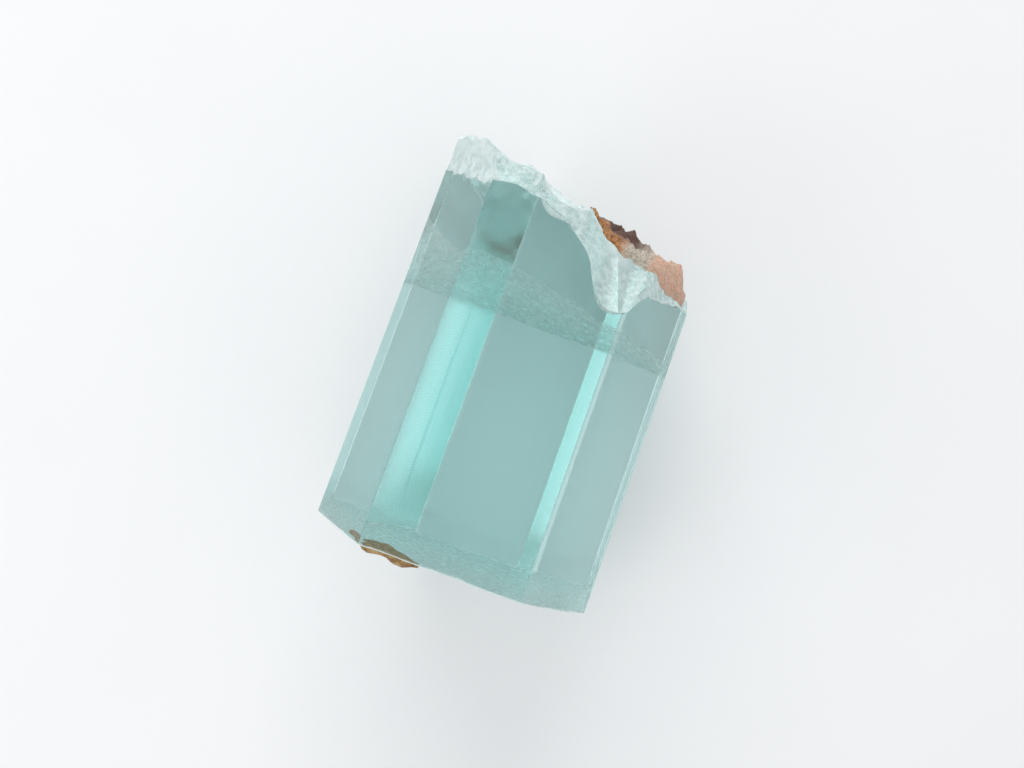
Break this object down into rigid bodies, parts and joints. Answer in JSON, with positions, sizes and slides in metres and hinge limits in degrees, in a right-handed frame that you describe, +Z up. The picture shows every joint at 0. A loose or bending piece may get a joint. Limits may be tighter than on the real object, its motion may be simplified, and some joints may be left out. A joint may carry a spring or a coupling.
{
  "type": "rough aquamarine",
  "caption": "Rough aquamarine: a clear blue-green six-sided beryl prism lying on a side face, flat at one end, broken at the other, with a remnant of matrix.",
  "frame": {"origin": "centre of the bottom of the whole object's bounding box, on the prism face the crystal lies on", "axes": "+Y along the prism from its flat end to its broken end, +X across the prism, +Z up from the face it lies on"},
  "size_m": [0.0282, 0.0408, 0.0259],
  "materials": {
    "aquamarine": "clear pale blue-green beryl, glossy prism faces, frosted broken and basal ends",
    "feldspar": "matt pinkish cream feldspar with brown iron stain and dark specks",
    "limonite": "matt yellow-brown crust"
  },
  "bodies": {
    "root": {"aquamarine_crystal": "aquamarine", "feldspar_matrix": "feldspar", "iron_crust": "limonite"}
  },
  "joints": []
}
